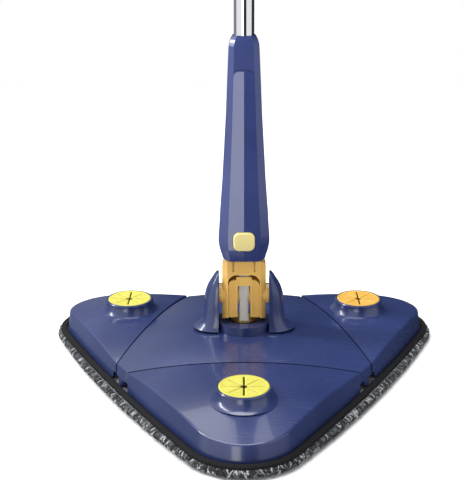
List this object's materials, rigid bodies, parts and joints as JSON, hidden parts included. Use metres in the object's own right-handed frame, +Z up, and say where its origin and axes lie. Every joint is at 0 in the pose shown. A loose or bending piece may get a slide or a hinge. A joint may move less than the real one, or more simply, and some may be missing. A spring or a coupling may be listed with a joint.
{
  "type": "triangular self-wringing floor mop",
  "caption": "Hand floor mop with a triangular hinged head that folds down to wring its microfibre pad, on a swivelling, tilting fork with a sliding sleeve and a jointed steel pole.",
  "frame": {"origin": "on the pad's underside, on the axis of the head swivel", "axes": "+Z up along the pole, -Y towards the head's front corner, +X to the right as seen from the front corner"},
  "size_m": [0.3408, 0.3155, 1.3],
  "materials": {
    "blue_plastic": "glossy injection moulding",
    "grip_plastic": "semi-gloss injection moulding",
    "dark_blue_plastic": "matt injection moulding",
    "orange_plastic": "glossy injection moulding",
    "yellow_rubber": "soft smooth rubber",
    "pad_microfibre": "looped microfibre pile with a bound edge",
    "hook_tape": "hook tape",
    "strap_webbing": "woven webbing",
    "polished_tube": "polished",
    "gold_bush": "smooth",
    "bright_steel": "turned"
  },
  "bodies": {
    "base": {"centre_cover": "blue_plastic", "chassis_plate": "dark_blue_plastic", "centre_screws": "bright_steel", "hinge_pins": "bright_steel", "guide_bush": "gold_bush", "hook_patch_centre": "hook_tape", "pull_strap_star": "strap_webbing", "pad_centre": "pad_microfibre"},
    "yoke": {"yoke": "blue_plastic", "strap_rise": "strap_webbing"},
    "fork": {"fork": "orange_plastic", "roller_saddle": "orange_plastic", "tilt_pin": "bright_steel", "strap_roller": "orange_plastic", "top_roller": "orange_plastic", "top_roller_pin": "bright_steel", "strap_front_run": "strap_webbing"},
    "sleeve": {"sleeve_front": "blue_plastic", "sleeve_back": "blue_plastic", "sleeve_screws": "bright_steel", "sleeve_cap": "blue_plastic", "strap_back_run": "strap_webbing", "pole_tube_lower": "polished_tube", "joint_stud_middle": "bright_steel", "joint_collar_middle": "grip_plastic", "pole_tube_middle": "polished_tube", "joint_stud_upper": "bright_steel", "joint_collar_upper": "grip_plastic", "pole_tube_upper": "polished_tube", "hand_grip": "grip_plastic"},
    "button": {"release_button": "orange_plastic"},
    "leaf_front": {"leaf_cover_front": "blue_plastic", "leaf_plate_front": "dark_blue_plastic", "cloth_gripper_front": "yellow_rubber", "leaf_screws_front": "bright_steel", "hook_patch_front": "hook_tape", "pull_strap_front": "strap_webbing", "pad_front": "pad_microfibre"},
    "leaf_left": {"leaf_cover_left": "blue_plastic", "leaf_plate_left": "dark_blue_plastic", "cloth_gripper_left": "yellow_rubber", "leaf_screws_left": "bright_steel", "hook_patch_left": "hook_tape", "pull_strap_left": "strap_webbing", "pad_left": "pad_microfibre"},
    "leaf_right": {"leaf_cover_right": "blue_plastic", "leaf_plate_right": "dark_blue_plastic", "cloth_gripper_right": "yellow_rubber", "leaf_screws_right": "bright_steel", "hook_patch_right": "hook_tape", "pull_strap_right": "strap_webbing", "pad_right": "pad_microfibre"}
  },
  "joints": [
    {"name": "head_swivel", "type": "hinge", "parent": "base", "child": "yoke", "pos_m": [0, 0, 0.035], "axis": [0, 0, 1], "continuous": true},
    {"name": "handle_tilt", "type": "hinge", "parent": "yoke", "child": "fork", "pos_m": [0, 0, 0.066], "axis": [1, 0, 0], "range_deg": [-85, 85], "deforming": ["strap_rise"]},
    {"name": "squeeze_slide", "type": "slide", "parent": "fork", "child": "sleeve", "axis": [0, 0, -1], "range_m": [0, 0.035], "deforming": ["strap_back_run"]},
    {"name": "button_press", "type": "slide", "parent": "sleeve", "child": "button", "axis": [0, 1, 0], "range_m": [0, 0.0018], "stiffness_N_per_m": 900, "springref_m": -0.001},
    {"name": "leaf_fold_front", "type": "hinge", "parent": "base", "child": "leaf_front", "pos_m": [0, -0.065, 0.013], "axis": [1, 0, 0], "range_deg": [0, 100]},
    {"name": "leaf_fold_left", "type": "hinge", "parent": "base", "child": "leaf_left", "pos_m": [-0.07975, 0.0305, 0.013], "axis": [-0.2939, -0.9558, 0], "range_deg": [0, 100]},
    {"name": "leaf_fold_right", "type": "hinge", "parent": "base", "child": "leaf_right", "pos_m": [0.07975, 0.0305, 0.013], "axis": [-0.2939, 0.9558, 0], "range_deg": [0, 100]}
  ],
  "couplings": [
    {"joint": "leaf_fold_front", "follows": "squeeze_slide", "rad_per_m": 49.86},
    {"joint": "leaf_fold_left", "follows": "squeeze_slide", "rad_per_m": 49.86},
    {"joint": "leaf_fold_right", "follows": "squeeze_slide", "rad_per_m": 49.86}
  ]
}
